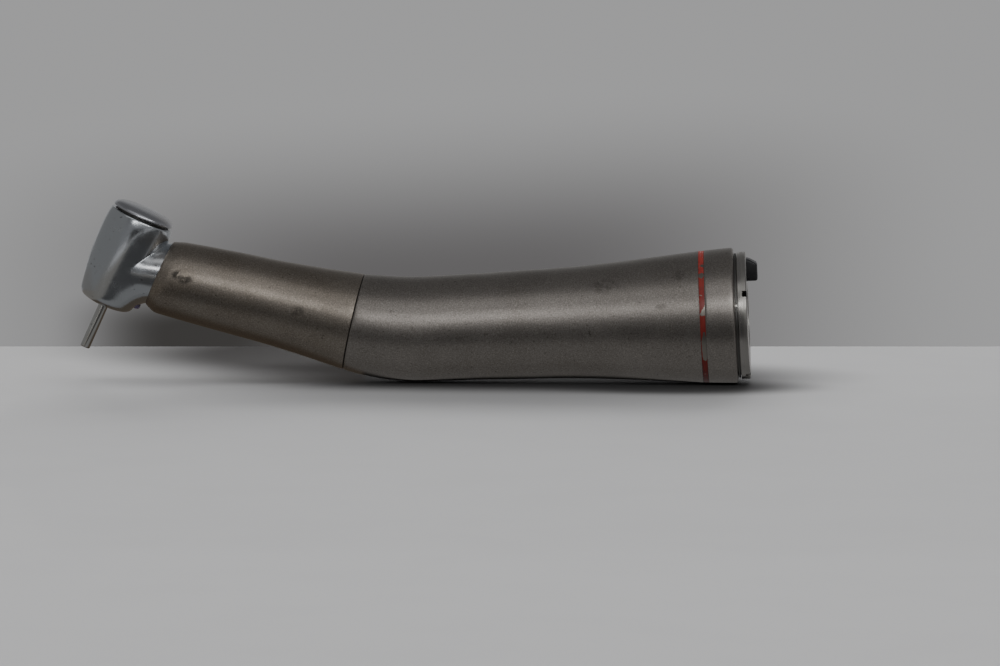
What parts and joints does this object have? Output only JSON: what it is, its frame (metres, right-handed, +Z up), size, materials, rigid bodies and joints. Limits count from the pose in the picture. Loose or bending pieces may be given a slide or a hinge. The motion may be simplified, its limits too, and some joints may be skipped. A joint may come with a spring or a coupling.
{
  "type": "dental contra-angle handpiece",
  "caption": "Speed-increasing dental contra-angle handpiece with a push-button chuck head, bent two-part steel body, light window, red colour band and motor socket.",
  "frame": {"origin": "centre of the bounding box's footprint, on its lowest plane", "axes": "+X along the rear axis towards the motor end, +Z up with the push button on top, Y=0 the plane of the bend"},
  "size_m": [0.109, 0.0218, 0.0337],
  "materials": {
    "blasted_steel": "matte bead-blasted steel, warm grey, fine grain",
    "blasted_steel_front": "matte bead-blasted steel, slightly browner, smudged",
    "polished_steel": "polished steel with fine wear",
    "satin_steel": "satin turned steel",
    "shank_steel": "ground steel",
    "bearing_steel": "ground bearing steel",
    "gear_steel": "hardened, oiled gear steel",
    "red_enamel": "red enamel, worn and chipped",
    "black_plastic": "black moulded plastic",
    "black_rubber": "black rubber",
    "cage_polymer": "bearing cage polymer with balls",
    "glass_rod": "fused glass light rod"
  },
  "bodies": {
    "root": {"grip_sleeve": "blasted_steel", "neck_sleeve": "blasted_steel_front", "seam_gasket": "black_rubber", "colour_band": "red_enamel", "rear_ring": "satin_steel", "snap_ring": "satin_steel", "coupling_tube": "satin_steel", "light_inlet": "black_plastic", "light_guide": "glass_rod", "air_tube": "satin_steel", "water_tube": "satin_steel", "rear_bearing_carrier": "satin_steel", "input_rear_outer_race": "bearing_steel", "input_front_outer_race": "bearing_steel", "knee_housing": "satin_steel", "front_bearing_tube": "satin_steel", "knee_outer_race": "bearing_steel", "neck_outer_race": "bearing_steel", "head_housing": "polished_steel", "light_window": "glass_rod", "bearing_cap": "satin_steel", "upper_head_outer_race": "bearing_steel", "lower_head_outer_race": "bearing_steel", "button_spring": "bearing_steel"},
    "input_drive": {"input_shaft": "gear_steel", "ring_gear": "gear_steel", "input_rear_inner_race": "bearing_steel", "input_front_inner_race": "bearing_steel"},
    "front_drive": {"front_shaft": "gear_steel", "knee_pinion": "gear_steel", "head_drive_gear": "gear_steel", "knee_inner_race": "bearing_steel", "neck_inner_race": "bearing_steel"},
    "spindle_drive": {"spindle": "gear_steel", "spindle_pinion": "gear_steel", "chuck_collet": "bearing_steel", "upper_head_inner_race": "bearing_steel", "lower_head_inner_race": "bearing_steel"},
    "input_rear_balls": {"input_rear_ball_cage": "cage_polymer"},
    "input_front_balls": {"input_front_ball_cage": "cage_polymer"},
    "knee_balls": {"knee_ball_cage": "cage_polymer"},
    "neck_balls": {"neck_ball_cage": "cage_polymer"},
    "upper_head_balls": {"upper_head_ball_cage": "cage_polymer"},
    "lower_head_balls": {"lower_head_ball_cage": "cage_polymer"},
    "button": {"push_button": "polished_steel"},
    "instrument": {"bur_shank": "shank_steel"}
  },
  "joints": [
    {"name": "input_spin", "type": "hinge", "parent": "root", "child": "input_drive", "pos_m": [0.05275, 0, 0.01087], "axis": [1, 0, 0], "continuous": true},
    {"name": "front_shaft_spin", "type": "hinge", "parent": "root", "child": "front_drive", "pos_m": [-0.00465, 0, 0.01087], "axis": [0.9613, 0, -0.2756], "continuous": true},
    {"name": "spindle_spin", "type": "hinge", "parent": "root", "child": "spindle_drive", "pos_m": [-0.04733, 0, 0.02311], "axis": [-0.454, 0, -0.891], "continuous": true},
    {"name": "input_rear_cage_spin", "type": "hinge", "parent": "root", "child": "input_rear_balls", "pos_m": [0.02635, 0, 0.01087], "axis": [1, 0, 0], "continuous": true},
    {"name": "input_front_cage_spin", "type": "hinge", "parent": "root", "child": "input_front_balls", "pos_m": [0.01145, 0, 0.01087], "axis": [1, 0, 0], "continuous": true},
    {"name": "knee_cage_spin", "type": "hinge", "parent": "root", "child": "knee_balls", "pos_m": [0.00001, 0, 0.00953], "axis": [0.9613, 0, -0.2756], "continuous": true},
    {"name": "neck_cage_spin", "type": "hinge", "parent": "root", "child": "neck_balls", "pos_m": [-0.04123, 0, 0.02136], "axis": [0.9613, 0, -0.2756], "continuous": true},
    {"name": "upper_head_cage_spin", "type": "hinge", "parent": "root", "child": "upper_head_balls", "pos_m": [-0.0446, 0, 0.02846], "axis": [-0.454, 0, -0.891], "continuous": true},
    {"name": "lower_head_cage_spin", "type": "hinge", "parent": "root", "child": "lower_head_balls", "pos_m": [-0.04964, 0, 0.01857], "axis": [-0.454, 0, -0.891], "continuous": true},
    {"name": "button_press", "type": "slide", "parent": "root", "child": "button", "axis": [-0.454, 0, -0.891], "range_m": [0, 0.0004], "stiffness_N_per_m": 40, "springref_m": -0.0005, "deforming": ["button_spring"]},
    {"name": "instrument_pull", "type": "slide", "parent": "spindle_drive", "child": "instrument", "axis": [-0.454, 0, -0.891], "range_m": [0, 0.01]}
  ],
  "couplings": [
    {"joint": "front_shaft_spin", "follows": "input_spin", "ratio": 2.5},
    {"joint": "spindle_spin", "follows": "input_spin", "ratio": 5},
    {"joint": "input_rear_cage_spin", "follows": "input_spin", "ratio": 0.39916},
    {"joint": "input_front_cage_spin", "follows": "input_spin", "ratio": 0.39916},
    {"joint": "knee_cage_spin", "follows": "input_spin", "ratio": 0.97067},
    {"joint": "neck_cage_spin", "follows": "input_spin", "ratio": 0.97067},
    {"joint": "upper_head_cage_spin", "follows": "input_spin", "ratio": 1.9958},
    {"joint": "lower_head_cage_spin", "follows": "input_spin", "ratio": 1.9958}
  ]
}
